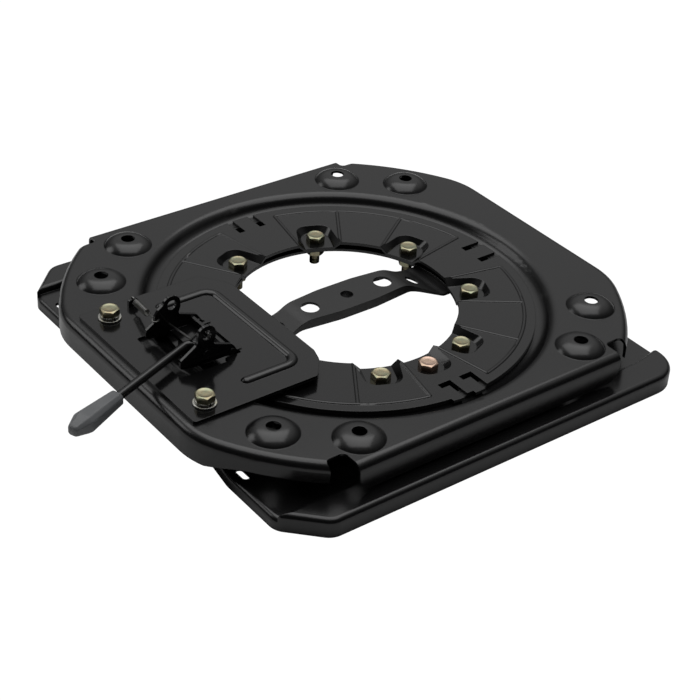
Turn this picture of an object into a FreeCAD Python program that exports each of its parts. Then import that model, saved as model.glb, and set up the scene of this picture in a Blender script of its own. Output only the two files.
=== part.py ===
import FreeCAD, Part
import math
import os

V = FreeCAD.Vector

# Swivel seat base. The origin is on the swivel axis, on the plane that the base stands on.
# +X runs away from the latch lever, -Y is the front edge, +Z is up.
# All lengths are in millimetres, all angles in degrees.

# Sheet thicknesses
upper_sheet = 2.5
lower_sheet = 3.0
ring_sheet = 3.0
latch_sheet = 3.0
strap_sheet = 2.5
pawl_sheet = 3.0

# Clearances
glide_clearance = 0.2
hole_clearance = 0.5
pin_clearance = 0.05
pin_gap = 0.2
tooth_rest_gap = 0.3

# Lower plate
lower_half_x = 218.0
lower_half_y = 230.0
lower_corner_cut = 34.0
lower_corner_r = 17.5
lower_far_corner_r = 32.0
waist_depth = 9.0
waist_half_y = 70.0
lobe_start_y = 128.0
edge_height = 11.5
rim_height = 17.5
rim_band = 33.0
rim_end_rise = 6.0
rim_end_run = 30.0
rim_end_r = 3.0
edge_round = 5.0
shelf_top = 31.6
shelf_outer_r = 181.0
cone_foot_r = 205.0
lower_hole_margin = 2.5
slot_edge = 12.0
slot_back_y = 168.0
slot_front_y = -133.0
slot_length = 16.0
slot_width = 7.0

# Ring bolts, nuts and the retaining ring
bolt_thread_r = 5.0
bolt_head_flats = 16.0
bolt_head_height = 6.4
nut_height = 8.4
bolt_tail = 1.6
ring_bolt_length = 25.0
bolt_circle_r = 120.3
bolt_first_angle = 22.5
bolt_pitch_angle = 45.0
stop_bolt_angle = -90.0
ring_inner_r = 104.5
ring_outer_r = 176.0
ring_rise = 5.9
pocket_floor_half = 14.0
pocket_half_angle = 10.4
pocket_end_half = 16.5
pocket_outer_r = 138.5
pocket_corner_r = 12.0
rib_edge = 10.5
rib_width = 3.6
rib_height = 1.0
rib_half_angle = 11.25
lock_slot_inner_r = 153.0
lock_slot_width = 6.8
tooth_spacing = 24.0
stop_leg_offset = 7.0
stop_leg_length = 14.0
stop_leg_width = 5.6
stop_tab_reach = 3.6
stop_tab_width = 11.5

# Upper plate
upper_half_x = 239.2
upper_half_y = 216.0
upper_shift_y = 2.5
upper_corner_r = 262.5
upper_side_round = 75.0
skirt_height = 25.0
deck_top = 46.5
deck_round = 8.0
notch_inner_x = 147.0
notch_outer_x = 167.0
notch_front_root_y = -191.0
notch_back_root_y = 203.0
notch_root_r = 5.0
arc_skirt_start_y = 96.0
arc_skirt_height = 18.5
arc_skirt_rise = 1.0
arc_skirt_run = 50.0
flange_end_r = 15.0
flange_overlap = 7.0
flange_width = 8.5
dish_run = 20.0
dome_height = 7.0
dome_base_r = 23.0
dome_top_r = 8.0
dome_hole_r = 6.5
front_dome_x = 125.0
front_dome_y = 182.0
side_dome_x = 180.0
side_dome_y = 138.0

# Cross strap
strap_rise = 17.7
strap_flat_half = 56.0
strap_foot_start = 94.0
strap_foot_end = 127.0
strap_half_middle = 20.5
strap_half_waist = 15.5
strap_waist_x = 70.0
strap_half_foot = 27.0
strap_flange = 9.5
strap_hole_pitch = 42.0
strap_end_hole_x = 79.0
strap_side_hole_r = 8.8
strap_middle_hole_r = 6.0
strap_end_hole_r = 7.0
strap_collar_depth = 10.5
strap_collar_wall = 2.5

# Latch plate
plate_outer_x = -228.5
plate_inner_x = -83.0
plate_half_y = 95.0
corner_cut_y = 62.0
corner_cut_run = 20.4
corner_cut_knee = 4.5
corner_knee_y = 76.0
window_outer_x = -204.4
window_step_x = -155.4
window_inner_x = -138.4
window_half_y = 36.0
window_narrow_half_y = 30.6
bead_width = 10.0
bead_height = 3.0
bead_leg_y = 68.5
bead_inner_x = -105.5
bead_outer_x = -159.0
bead_corner_r = 12.0
latch_bolt_x = -207.0
latch_bolt_y = 77.0
washer_outer_r = 10.5
washer_thickness = 1.8
spring_washer_outer_r = 8.8
spring_washer_thickness = 2.6
spring_washer_gap = 1.6

# Latch pawl, hinge and rod
hinge_x = -147.9
hinge_rise = 4.1
hinge_pin_r = 2.0
pin_head_r = 3.0
pin_head_height = 1.2
pin_tail = 2.0
clip_outer_r = 3.2
clip_thickness = 0.8
lug_thickness = 3.0
lug_gap = 0.4
lug_round_r = 3.2
lug_root_x = -135.4
wall_half_y = 28.0
wall_tip_x = -140.7
wall_knee_x = -147.7
wall_knee_rise = 11.1
wall_neck_x = -167.4
wall_neck_rise = 18.2
wall_foot_x = -200.4
wall_foot_rise = 11.0
wall_foot_lift = 3.2
cross_web_x = -151.4
ear_x = -173.9
ear_rise = 29.5
ear_round_r = 9.0
ear_hole_r = 4.7
web_rise = 3.5
web_inner_x = -151.4
web_outer_x = -175.5
tooth_root_reach = 4.0
tooth_nib_reach = 15.6
tooth_tip_reach = 22.3
tooth_shoulder = 1.6
tooth_width = 4.6
rod_r = 4.0
rod_x = -174.4
rod_rise = 11.1
rod_wall_y = 31.5
rod_bend_y = -6.5
rod_bend_r = 8.0
rod_splay = 21.3
rod_straight = 137.6
grip_socket = 34.0
grip_length = 58.5

# Springs
coil_wire_r = 0.6
coil_r = 2.6
coil_turns = 11.0
coil_length = 29.0
coil_lead = 6.0
spring_hole_r = 1.5
spring_bridge = 3.9
anchor_x = -179.4
anchor_y = 83.0
anchor_rise = 3.9
anchor_half_width = 5.0
hook_x = -187.4
hook_rise = 18.5
hook_arm_x = -191.3
hook_arm_rise = 28.5
hook_arm_low = 11.5
ear_wire_r = 1.1
ear_wire_bend = 1.8
ear_wire_lift = 2.6
ear_wire_back_x = -176.9
ear_wire_back_rise = 11.5

# Levels and places that follow from the sizes above
ring_seat = shelf_top + ring_sheet
ring_top = ring_seat + ring_rise
rib_r = ring_outer_r - rib_edge
lower_hole_r = ring_inner_r + lower_hole_margin
slot_x = lower_half_x - slot_edge
strap_top = shelf_top - lower_sheet + strap_rise
flange_inner_r = ring_outer_r - flange_overlap
dish_foot_r = flange_inner_r + flange_width
dish_lip_r = dish_foot_r + dish_run
flange_low = shelf_top + 1.0 + glide_clearance
flange_top = flange_low + upper_sheet
skirt_low = deck_top - 1.0 - skirt_height
latch_top = deck_top + latch_sheet
hinge_z = latch_top + hinge_rise
ear_z = latch_top + ear_rise
web_top = latch_top + web_rise
rod_z = latch_top + rod_rise
anchor_hole_z = latch_top + anchor_rise
hook_z = latch_top + hook_rise
ear_wire_back_z = latch_top + ear_wire_back_rise
tooth_inner_x = -lock_slot_inner_r - tooth_root_reach
tooth_nib_x = -lock_slot_inner_r - tooth_nib_reach
tooth_outer_x = -lock_slot_inner_r - tooth_tip_reach


def ring_point(radius, angle, z=0.0):
    turn = math.radians(angle)
    return V(radius * math.cos(turn), radius * math.sin(turn), z)


def cylinder(radius, z_low, z_high, x=0.0, y=0.0):
    return Part.makeCylinder(radius, z_high - z_low, V(x, y, z_low))


def box(x_low, x_high, y_low, y_high, z_low, z_high):
    return Part.makeBox(x_high - x_low, y_high - y_low, z_high - z_low, V(x_low, y_low, z_low))


def corner_arc(before, point, after, radius):
    # Start, middle and end of the arc that rounds a corner of a path.
    to_before = (before - point).normalize()
    to_after = (after - point).normalize()
    half = to_before.getAngle(to_after) / 2
    reach = radius / math.tan(half)
    middle = (to_before + to_after).normalize()
    return (point + to_before * reach, point + middle * (radius / math.sin(half) - radius), point + to_after * reach)


def rounded_wire(corners):
    # A closed wire. Each corner is (point, radius), and a corner with no radius stays sharp.
    count = len(corners)
    arcs = []
    for i, (point, radius) in enumerate(corners):
        if radius > 0:
            arcs.append(corner_arc(corners[i - 1][0], point, corners[(i + 1) % count][0], radius))
        else:
            arcs.append((point, None, point))
    edges = []
    for i, (start, middle, end) in enumerate(arcs):
        if middle is not None:
            edges.append(Part.Arc(start, middle, end).toShape())
        following = arcs[(i + 1) % count][0]
        if (following - end).Length > 1e-6:
            edges.append(Part.LineSegment(end, following).toShape())
    return Part.Wire(edges)


def bent_bar(points, bend_r, bar_r):
    # A round bar along straight runs that are joined by bends of one radius.
    edges = []
    here = points[0]
    for i in range(1, len(points) - 1):
        start, middle, end = corner_arc(points[i - 1], points[i], points[i + 1], bend_r)
        edges.append(Part.LineSegment(here, start).toShape())
        edges.append(Part.Arc(start, middle, end).toShape())
        here = end
    edges.append(Part.LineSegment(here, points[-1]).toShape())
    circle = Part.Circle(points[0], points[1] - points[0], bar_r).toShape()
    return Part.Wire(edges).makePipeShell([Part.Wire([circle])], True, True)


def flat_outline(corners, z=0.0):
    return rounded_wire([(V(x, y, z), radius) for x, y, radius in corners])


def extruded(wire, direction):
    return Part.Face(wire).extrude(direction)


def prism(corners, z_low, z_high):
    return extruded(flat_outline(corners, z_low), V(0, 0, z_high - z_low))


def swept_arc(centre, radius, from_angle, to_angle):
    middle = (from_angle + to_angle) / 2
    points = [centre + V(radius * math.cos(math.radians(a)), 0, radius * math.sin(math.radians(a)))
              for a in (from_angle, middle, to_angle)]
    return Part.Arc(*points).toShape()


def step_curve(inner_r, inner_z, outer_r, outer_z, drop):
    # An S-shaped step between two flats, moved down by drop along its normal.
    run = outer_r - inner_r
    rise = abs(outer_z - inner_z)
    turn = 2 * math.degrees(math.atan2(rise, run))
    radius = run / (2 * math.sin(math.radians(turn)))
    if outer_z > inner_z:
        first = swept_arc(V(inner_r, 0, inner_z + radius), radius + drop, -90, -90 + turn)
        second = swept_arc(V(outer_r, 0, outer_z - radius), radius - drop, 90 + turn, 90)
    else:
        first = swept_arc(V(inner_r, 0, inner_z - radius), radius - drop, 90, 90 - turn)
        second = swept_arc(V(outer_r, 0, outer_z + radius), radius + drop, 270 - turn, 270)
    return [first, second]


def revolved(edges):
    wire = Part.Wire(Part.__sortEdges__(edges))
    return Part.Face(wire).revolve(V(0, 0, 0), V(0, 0, 1), 360)


def line(x1, z1, x2, z2):
    return Part.LineSegment(V(x1, 0, z1), V(x2, 0, z2)).toShape()


def sheet_step(inner_r, inner_z, outer_r, outer_z, sheet, edge_r):
    # A turned sheet with a step in it. It starts at edge_r and ends at outer_r.
    edges = step_curve(inner_r, inner_z, outer_r, outer_z, 0)
    edges += step_curve(inner_r, inner_z, outer_r, outer_z, sheet)
    edges.append(line(outer_r, outer_z, outer_r, outer_z - sheet))
    edges.append(line(edge_r, inner_z, edge_r, inner_z - sheet))
    if inner_r - edge_r > 1e-6:
        edges.append(line(edge_r, inner_z, inner_r, inner_z))
        edges.append(line(edge_r, inner_z - sheet, inner_r, inner_z - sheet))
    return revolved(edges)


def one_solid(shape):
    shape = shape.removeSplitter()
    if len(shape.Solids) == 1:
        return shape.Solids[0]
    return shape


def hexagon(flats, z_low, z_high, x, y, turn=0.0):
    across = flats / math.sqrt(3)
    corners = []
    for i in range(6):
        p = ring_point(across, turn + 60 * i)
        corners.append((x + p.x, y + p.y, 0))
    return prism(corners, z_low, z_high)


def hex_head(z_low, height, x, y, turn):
    # A hexagon whose top corners are turned off at 30 degrees.
    head = hexagon(bolt_head_flats, z_low, z_low + height, x, y, turn)
    corner_r = bolt_head_flats / math.sqrt(3)
    face_r = 0.93 * bolt_head_flats / 2
    slope = math.tan(math.radians(30))
    skirt_z = z_low + height - (corner_r - face_r) * slope - 0.001
    cone = Part.makeCone(corner_r, face_r, z_low + height - skirt_z, V(x, y, skirt_z))
    body = cylinder(corner_r, z_low - 1, skirt_z, x, y)
    return head.common(body.fuse(cone).removeSplitter())


def hex_bolt(seat_z, end_z, x, y, turn):
    head = hex_head(seat_z, bolt_head_height, x, y, turn)
    shank = cylinder(bolt_thread_r, end_z + 1, seat_z + 1, x, y)
    tip = Part.makeCone(bolt_thread_r - 1, bolt_thread_r, 1, V(x, y, end_z))
    return one_solid(head.fuse([shank, tip]))


def hex_nut(z_low, x, y, turn):
    top_half = hex_head(z_low, nut_height, x, y, turn)
    flipped = top_half.mirror(V(0, 0, z_low + nut_height / 2), V(0, 0, 1))
    return one_solid(top_half.common(flipped).cut(cylinder(bolt_thread_r, z_low - 1, z_low + nut_height + 1, x, y)))


def bolt_angles():
    return [bolt_first_angle + bolt_pitch_angle * i for i in range(8)]


def seat_points():
    return [ring_point(bolt_circle_r, a) for a in bolt_angles() + [stop_bolt_angle]]


# Lower plate

def lower_corners(inset):
    half_x = lower_half_x - inset
    half_y = lower_half_y - inset
    waist_x = half_x - waist_depth
    cut = lower_corner_cut - inset * (2 - math.sqrt(2))
    corner = lower_corner_r - inset
    far_corner = lower_far_corner_r - inset
    soft = 40.0
    right = [(half_x, -half_y, far_corner), (half_x, -lobe_start_y, soft), (waist_x, -waist_half_y, soft),
             (waist_x, waist_half_y, soft), (half_x, lobe_start_y, soft), (half_x, half_y, far_corner)]
    left = [(-half_x + cut, half_y, corner), (-half_x, half_y - cut, corner), (-half_x, lobe_start_y, soft),
            (-waist_x, waist_half_y, soft), (-waist_x, -waist_half_y, soft), (-half_x, -lobe_start_y, soft),
            (-half_x, -half_y + cut, corner), (-half_x + cut, -half_y, corner)]
    return right + left


def pad(corners, z_top, edge_r):
    # A plate from below the standing plane up to z_top, with its upper edges rounded.
    block = prism(corners, -edge_r, z_top)
    rims = [e for e in block.Edges if abs(e.BoundBox.ZMin - z_top) < 1e-6]
    return block.makeFillet(edge_r, rims)


def rim_corners(inset):
    half_x = lower_half_x - inset
    outer = lower_half_y - inset
    inner = lower_half_y - rim_band + inset
    cut = lower_corner_cut - inset * (2 - math.sqrt(2))
    corner = lower_corner_r - inset
    return [(-half_x + cut, -outer, corner), (half_x, -outer, lower_far_corner_r - inset),
            (half_x, -inner + rim_end_rise, rim_end_r), (half_x - rim_end_run, -inner, 60),
            (-half_x + cut - outer + inner, -inner, 0)]


def lower_form(inset):
    plate = pad(lower_corners(inset), edge_height - inset, edge_round - inset)
    outline = prism(lower_corners(inset), -2 * edge_round, 2 * rim_height)
    front = pad(rim_corners(inset), rim_height - inset, edge_round - inset).common(outline)
    back = front.mirror(V(0, 0, 0), V(0, 1, 0))
    edges = step_curve(shelf_outer_r, shelf_top, cone_foot_r, edge_height, inset)
    edges.append(line(0, shelf_top - inset, shelf_outer_r, shelf_top - inset))
    edges.append(line(0, shelf_top - inset, 0, -edge_round))
    edges.append(line(0, -edge_round, cone_foot_r, -edge_round))
    edges.append(line(cone_foot_r, -edge_round, cone_foot_r, edge_height - inset))
    cone = revolved(edges)
    return plate.fuse([front, back, cone])


def oblong(length, width, z_low, z_high, x, y):
    half = length / 2 - width / 2
    bar = box(x - width / 2, x + width / 2, y - half, y + half, z_low, z_high)
    ends = [cylinder(width / 2, z_low, z_high, x, y + s * half) for s in (-1, 1)]
    return bar.fuse(ends)


def make_lower_plate():
    shell = lower_form(0).cut(lower_form(lower_sheet))
    below = box(-300, 300, -300, 300, -50, 0)
    tools = [below, cylinder(lower_hole_r, shelf_top - 20, shelf_top + 5)]
    for x in (-slot_x, slot_x):
        for y in (slot_front_y, slot_back_y):
            tools.append(oblong(slot_length, slot_width, 0, edge_height + 5, x, y))
    for p in seat_points():
        tools.append(cylinder(bolt_thread_r + hole_clearance, shelf_top - 20, shelf_top + 5, p.x, p.y))
    return one_solid(shell.cut(tools))


# Retaining ring

def pocket_punch(angle, drop):
    # The form of one bolt pocket: a floor round the bolt and sides that widen to the ring's top.
    over = 1.5
    growth = (ring_rise + over) / ring_rise
    inner = ring_inner_r - 14
    turn = math.radians(pocket_half_angle)
    wide_half = math.tan(turn) * bolt_circle_r
    end_reach = bolt_circle_r + pocket_floor_half
    floor = [(inner, -pocket_floor_half), (end_reach, -pocket_floor_half),
             (end_reach, pocket_floor_half), (inner, pocket_floor_half)]
    mouth = [(inner, -wide_half), (pocket_outer_r, -pocket_end_half), (pocket_outer_r, pocket_end_half),
             (inner, wide_half)]
    raised = [(fx + (mx - fx) * growth, fy + (my - fy) * growth) for (fx, fy), (mx, my) in zip(floor, mouth)]
    floor_r = pocket_floor_half - 1.0
    mouth_r = pocket_corner_r
    floor_wire = flat_outline([(floor[0][0], floor[0][1], 0), (floor[1][0], floor[1][1], floor_r),
                               (floor[2][0], floor[2][1], floor_r), (floor[3][0], floor[3][1], 0)], ring_seat - drop)
    mouth_wire = flat_outline([(raised[0][0], raised[0][1], 0), (raised[1][0], raised[1][1], mouth_r),
                               (raised[2][0], raised[2][1], mouth_r), (raised[3][0], raised[3][1], 0)],
                              ring_top + over - drop)
    punch = Part.makeLoft([floor_wire, mouth_wire], True, True)
    punch.rotate(V(0, 0, 0), V(0, 0, 1), angle)
    return punch


def ring_ribs():
    # Low rounded ribs that outline the three sectors of each quarter.
    bead_r = (rib_width ** 2 / 4 + rib_height ** 2) / (2 * rib_height)
    bead_z = ring_top + rib_height - bead_r
    outer_arc = Part.makeTorus(rib_r, bead_r, V(0, 0, bead_z))
    quarter_span = bolt_pitch_angle * 2 - 2 * rib_half_angle
    ribs = []
    for quarter in range(4):
        start = 90.0 * quarter + rib_half_angle
        wedge = cylinder(rib_r + 10, bead_z, ring_top + 5).cut(cylinder(rib_r - 10, bead_z - 1, ring_top + 6))
        keep = wedge_sector(start, start + quarter_span, bead_z, ring_top + 5)
        ribs.append(outer_arc.common(wedge.common(keep)))
    for k in range(16):
        angle = rib_half_angle + 2 * rib_half_angle * k
        bar = Part.makeCylinder(bead_r, rib_r - ring_inner_r, V(ring_inner_r, 0, bead_z), V(1, 0, 0))
        bar = bar.common(box(ring_inner_r, rib_r, -bead_r, bead_r, ring_top - 0.5, ring_top + rib_height + 1))
        bar.rotate(V(0, 0, 0), V(0, 0, 1), angle)
        ribs.append(bar)
    return ribs


def wedge_sector(from_angle, to_angle, z_low, z_high):
    far = 2 * ring_outer_r
    middle = (from_angle + to_angle) / 2
    p = [V(0, 0, z_low), ring_point(far, from_angle, z_low), ring_point(far, middle, z_low),
         ring_point(far, to_angle, z_low)]
    return extruded(Part.makePolygon(p + [p[0]]), V(0, 0, z_high - z_low))


def lock_slots():
    tools = []
    for angle in (0.0, 90.0, 180.0):
        for side in (-1, 1):
            mid = side * tooth_spacing / 2
            slot = box(lock_slot_inner_r, ring_outer_r + 10, mid - lock_slot_width / 2, mid + lock_slot_width / 2,
                       ring_seat - 5, ring_top + 5)
            slot.rotate(V(0, 0, 0), V(0, 0, 1), angle)
            tools.append(slot)
    return tools


def stop_leg_places():
    return [side * tooth_spacing / 2 + stop_leg_offset for side in (-1, 1)]


def stop_slots():
    # Two L-shaped slots at the front, each with a leg along the ring's edge direction.
    tools = []
    for x in stop_leg_places():
        radial = box(x - stop_leg_width / 2, x + stop_leg_width / 2, -ring_outer_r - 10, -lock_slot_inner_r,
                     ring_seat - 5, ring_top + 5)
        across = box(x + stop_leg_width / 2 - stop_leg_length, x + stop_leg_width / 2,
                     -lock_slot_inner_r - stop_leg_width, -lock_slot_inner_r + 0.5, ring_seat - 5, ring_top + 5)
        tools += [radial, across]
    return tools


def stop_tabs():
    tabs = []
    for x in stop_leg_places():
        x_high = x - stop_leg_width / 2
        block = box(x_high - stop_tab_width, x_high, -ring_outer_r - 20, -ring_outer_r + 4, ring_top - ring_sheet, ring_top)
        tabs.append(block.common(cylinder(ring_outer_r + stop_tab_reach, ring_top - ring_sheet, ring_top)))
    return tabs


def make_retaining_ring():
    ring = cylinder(ring_outer_r, ring_top - ring_sheet, ring_top)
    angles = bolt_angles() + [stop_bolt_angle]
    under = [pocket_punch(a, ring_sheet) for a in angles]
    limit = cylinder(ring_outer_r, shelf_top, ring_top)
    ring = ring.fuse([u.common(limit) for u in under])
    ring = ring.fuse(ring_ribs())
    ring = ring.fuse(stop_tabs())
    ring = ring.cut([pocket_punch(a, 0) for a in angles])
    tools = [cylinder(ring_inner_r, 0, ring_top + 10)] + lock_slots() + stop_slots()
    for p in seat_points():
        tools.append(cylinder(bolt_thread_r + hole_clearance, 0, ring_top + 10, p.x, p.y))
    return one_solid(ring.cut(tools))


# Glide rings between the turning plate's inner flange and the fixed parts

def make_lower_glide():
    lip_outer = flange_inner_r - glide_clearance
    lip_inner = lip_outer - 2.5
    outer = dish_foot_r - 1.5
    flat = cylinder(outer, shelf_top, flange_low - glide_clearance)
    lip = cylinder(lip_outer, shelf_top, ring_top - ring_sheet - glide_clearance)
    return one_solid(flat.fuse(lip).cut(cylinder(lip_inner, shelf_top - 1, ring_top)))


def make_upper_glide():
    inner = flange_inner_r + glide_clearance
    ring = cylinder(ring_outer_r - 0.5, flange_top + glide_clearance, ring_top - ring_sheet)
    return one_solid(ring.cut(cylinder(inner, flange_top - 1, ring_top)))


# Bolts and nuts

def make_ring_bolts():
    end = ring_seat - ring_bolt_length
    bolts = []
    for i, angle in enumerate(bolt_angles()):
        p = ring_point(bolt_circle_r, angle)
        bolts.append(hex_bolt(ring_seat, end, p.x, p.y, 17.0 * i))
    return Part.makeCompound(bolts)


def make_stop_bolt():
    end = ring_seat - ring_bolt_length
    p = ring_point(bolt_circle_r, stop_bolt_angle)
    return hex_bolt(ring_seat, end, p.x, p.y, 8.0)


def make_ring_nuts():
    low = shelf_top - lower_sheet - nut_height
    nuts = []
    for i, angle in enumerate(bolt_angles()):
        p = ring_point(bolt_circle_r, angle)
        nuts.append(hex_nut(low, p.x, p.y, 23.0 * i))
    return Part.makeCompound(nuts)


def make_stop_nut():
    p = ring_point(bolt_circle_r, stop_bolt_angle)
    return hex_nut(shelf_top - lower_sheet - nut_height, p.x, p.y, 41.0)


# Cross strap

def strap_profile(lift, depth_arch, depth_foot, reach):
    # The strap's side view, from lift below its upper face down by a depth.
    foot_top = shelf_top - lower_sheet
    top = [(-reach, foot_top - lift, 0), (-strap_foot_start, foot_top - lift, 14), (-strap_flat_half, strap_top - lift, 30),
           (strap_flat_half, strap_top - lift, 30), (strap_foot_start, foot_top - lift, 14), (reach, foot_top - lift, 0)]
    low = [(reach, foot_top - depth_foot, 0), (strap_foot_start + 3, foot_top - depth_foot, 8),
           (strap_flat_half + 6, strap_top - depth_arch, 24), (-strap_flat_half - 6, strap_top - depth_arch, 24),
           (-strap_foot_start - 3, foot_top - depth_foot, 8), (-reach, foot_top - depth_foot, 0)]
    corners = [(V(x, -60, z), r) for x, z, r in top + low]
    return extruded(rounded_wire(corners), V(0, 120, 0))


def strap_plan(inset, reach):
    # The strap's outline from above: bowed in the middle, waisted, and wide at its feet.
    right = [(reach, -strap_half_foot + inset, 0), (strap_foot_start + 2, -strap_half_foot + inset, 12),
             (strap_waist_x, -strap_half_waist + inset, 25), (20, -strap_half_middle + inset, 60),
             (-20, -strap_half_middle + inset, 60), (-strap_waist_x, -strap_half_waist + inset, 25),
             (-strap_foot_start - 2, -strap_half_foot + inset, 12), (-reach, -strap_half_foot + inset, 0)]
    left = [(-x, -y, r) for x, y, r in right]
    return prism(right + left, 0, 80)


def make_cross_strap():
    outer = strap_profile(0, strap_flange, strap_sheet, strap_foot_end).common(strap_plan(0, strap_foot_end))
    inner_low = strap_profile(strap_sheet, strap_flange + 20, strap_sheet + 12, strap_foot_end + 1)
    inner = inner_low.common(strap_plan(strap_sheet, strap_foot_end + 1))
    collar = cylinder(strap_middle_hole_r + strap_collar_wall, strap_top - strap_collar_depth, strap_top - 0.5)
    strap = outer.cut(inner).fuse(collar)
    tools = [cylinder(strap_middle_hole_r, 0, 80)]
    tools += [cylinder(strap_side_hole_r, 0, 80, s * strap_hole_pitch) for s in (-1, 1)]
    tools += [cylinder(strap_end_hole_r, 0, 80, s * strap_end_hole_x) for s in (-1, 1)]
    return one_solid(strap.cut(tools))


# Upper plate

def upper_block(inset, z_low, z_top, edge_r):
    half_x = upper_half_x - inset
    half_y = upper_half_y - inset
    radius = upper_corner_r - inset
    block = box(-half_x, half_x, upper_shift_y - half_y, upper_shift_y + half_y, z_low, z_top)
    block = block.common(cylinder(radius, z_low, z_top, 0, upper_shift_y))
    uprights = []
    for e in block.Edges:
        b = e.BoundBox
        if b.ZLength > (z_top - z_low) - 1e-3 and b.XLength < 1e-3 and abs(abs(b.XMin) - half_x) < 1e-3:
            uprights.append(e)
    block = block.makeFillet(upper_side_round - inset, uprights)
    rims = [e for e in block.Edges if abs(e.BoundBox.ZMin - z_top) < 1e-6]
    return block.makeFillet(edge_r, rims)


def dome_places():
    places = []
    for sx in (-1, 1):
        for sy in (-1, 1):
            places.append((sx * front_dome_x, sy * front_dome_y))
            places.append((sx * side_dome_x, sy * side_dome_y))
    return places


def dome_arc(radius):
    # The side of a dome, tangent to its flat top and cut off at the height of the dome.
    centre = V(dome_top_r, 0, deck_top + dome_height - dome_radius())
    base_angle = math.degrees(math.asin((radius - dome_height) / radius))
    return swept_arc(centre, radius, base_angle, 90)


def dome_radius():
    run = dome_base_r - dome_top_r
    return (run ** 2 + dome_height ** 2) / (2 * dome_height)


def dome_foot_r():
    # Where the dome's lower face meets the deck's lower face.
    radius = dome_radius() - upper_sheet
    return dome_top_r + math.sqrt(radius ** 2 - (radius - dome_height) ** 2)


def dome_sheet():
    top = deck_top + dome_height
    edges = [dome_arc(dome_radius()), dome_arc(dome_radius() - upper_sheet),
             line(dome_base_r, deck_top, dome_foot_r(), deck_top - upper_sheet),
             line(dome_hole_r, top, dome_top_r, top),
             line(dome_hole_r, top - upper_sheet, dome_top_r, top - upper_sheet),
             line(dome_hole_r, top, dome_hole_r, top - upper_sheet)]
    return revolved(edges)


def make_upper_plate():
    outer = upper_block(0, skirt_low, deck_top, deck_round)
    inner = upper_block(upper_sheet, skirt_low - 5, deck_top - upper_sheet, deck_round - upper_sheet)
    plate = outer.cut(inner)
    tools = [cylinder(dish_lip_r, deck_top - 5, deck_top + 5)]
    tools += [cylinder(dome_foot_r(), deck_top - 5, deck_top + 5, x, y) for x, y in dome_places()]
    tools += [cylinder(bolt_thread_r + hole_clearance, deck_top - 5, deck_top + 5, x, y)
              for x, y in latch_bolt_places()]
    for sx in (-1, 1):
        for root_y in (notch_front_root_y, notch_back_root_y):
            out_y = root_y + math.copysign(40, root_y)
            corners = [(sx * notch_inner_x, root_y, notch_root_r), (sx * notch_outer_x, root_y, notch_root_r),
                       (sx * notch_outer_x, out_y, 0), (sx * notch_inner_x, out_y, 0)]
            tools.append(prism(corners, 0, deck_top + 5))
        for sy in (-1, 1):
            tools.append(flange_end_tool(sx, sy))
            tools.append(arc_skirt_tool(sx, sy))
    plate = plate.cut(tools)
    dish = sheet_step(dish_foot_r, flange_top, dish_lip_r, deck_top, upper_sheet, flange_inner_r)
    domes = []
    for x, y in dome_places():
        dome = dome_sheet()
        dome.translate(V(x, y, 0))
        domes.append(dome)
    return one_solid(plate.fuse([dish] + domes))


def flange_end_tool(sx, sy):
    # Takes the square lower corner off the end of a front or back flange.
    y_low = upper_half_y - 15
    block = box(notch_inner_x - flange_end_r, notch_inner_x + 1, y_low, upper_half_y + 5,
                skirt_low - 1, skirt_low + flange_end_r)
    barrel = Part.makeCylinder(flange_end_r, 25, V(notch_inner_x - flange_end_r, y_low - 1, skirt_low + flange_end_r),
                               V(0, 1, 0))
    return to_corner(block.cut(barrel), sx, sy)


def arc_skirt_tool(sx, sy):
    # Shortens the skirt along a curved corner. Its lower edge rises towards the notch.
    z = deck_top - arc_skirt_height
    side_view = [(arc_skirt_start_y, skirt_low - 5, 0), (arc_skirt_start_y + arc_skirt_run, z, 30),
                 (upper_half_y + 10, z + arc_skirt_rise, 0), (upper_half_y + 10, skirt_low - 5, 0)]
    corners = [(V(notch_outer_x - 8, y, z), r) for y, z, r in side_view]
    return to_corner(extruded(rounded_wire(corners), V(100, 0, 0)), sx, sy)


def to_corner(tool, sx, sy):
    # Mirrors a tool from the +X +Y corner to another one.
    if sx < 0:
        tool = tool.mirror(V(0, 0, 0), V(1, 0, 0))
    if sy < 0:
        tool = tool.mirror(V(0, 0, 0), V(0, 1, 0))
    return tool


# Latch plate

def latch_outline():
    x_cut = plate_inner_x - corner_cut_run
    x_knee = plate_inner_x - corner_cut_knee
    return [(plate_outer_x, -plate_half_y, 3), (x_cut, -plate_half_y, 3), (x_knee, -corner_knee_y, 14),
            (plate_inner_x, -corner_cut_y, 6), (plate_inner_x, corner_cut_y, 6), (x_knee, corner_knee_y, 14),
            (x_cut, plate_half_y, 3), (plate_outer_x, plate_half_y, 3)]


def window_outline():
    return [(window_outer_x, -window_half_y, 3), (window_step_x, -window_half_y, 2),
            (window_step_x, -window_narrow_half_y, 0), (window_inner_x, -window_narrow_half_y, 2),
            (window_inner_x, window_narrow_half_y, 2), (window_step_x, window_narrow_half_y, 0),
            (window_step_x, window_half_y, 2), (window_outer_x, window_half_y, 3)]


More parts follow.
